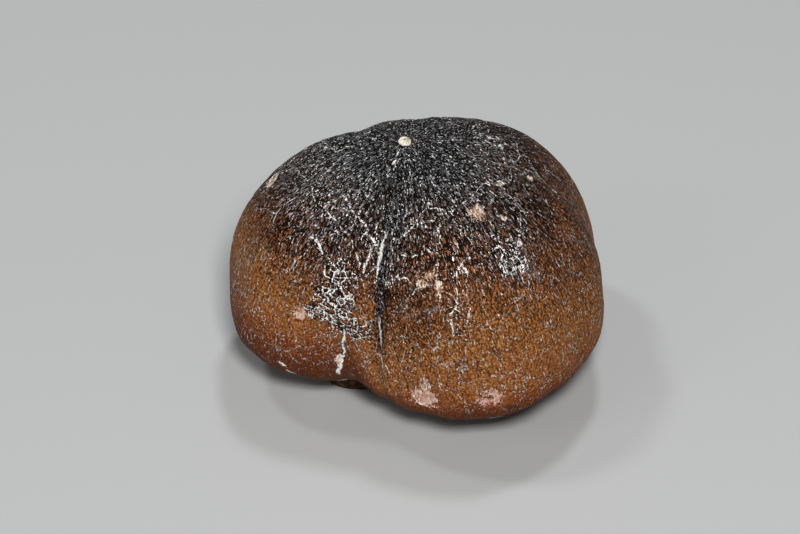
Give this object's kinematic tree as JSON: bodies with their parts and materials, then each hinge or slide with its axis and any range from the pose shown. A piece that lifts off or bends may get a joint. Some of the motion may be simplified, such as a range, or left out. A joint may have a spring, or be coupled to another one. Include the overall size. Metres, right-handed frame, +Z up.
{
  "type": "fossil mosasaur tooth",
  "caption": "Bulbous, wrinkled crown of a shell-crushing mosasaur tooth, with two unequal lobes, a groove between them and a blunt nub on top, standing on its broken neck.",
  "frame": {"origin": "middle of the whole tooth's plan, on the flat foot that it stands on", "axes": "+Z up to the apex, +X along the longer side to the large lobe's end, -Y the front with the groove between the lobes"},
  "size_m": [0.0276, 0.0232, 0.0195],
  "materials": {
    "fossil_enamel": "satin to glossy fossil enamel, charcoal at the apex and golden brown below, with pale matrix in its wrinkles"
  },
  "bodies": {
    "root": {"tooth_crown": "fossil_enamel"}
  },
  "joints": []
}
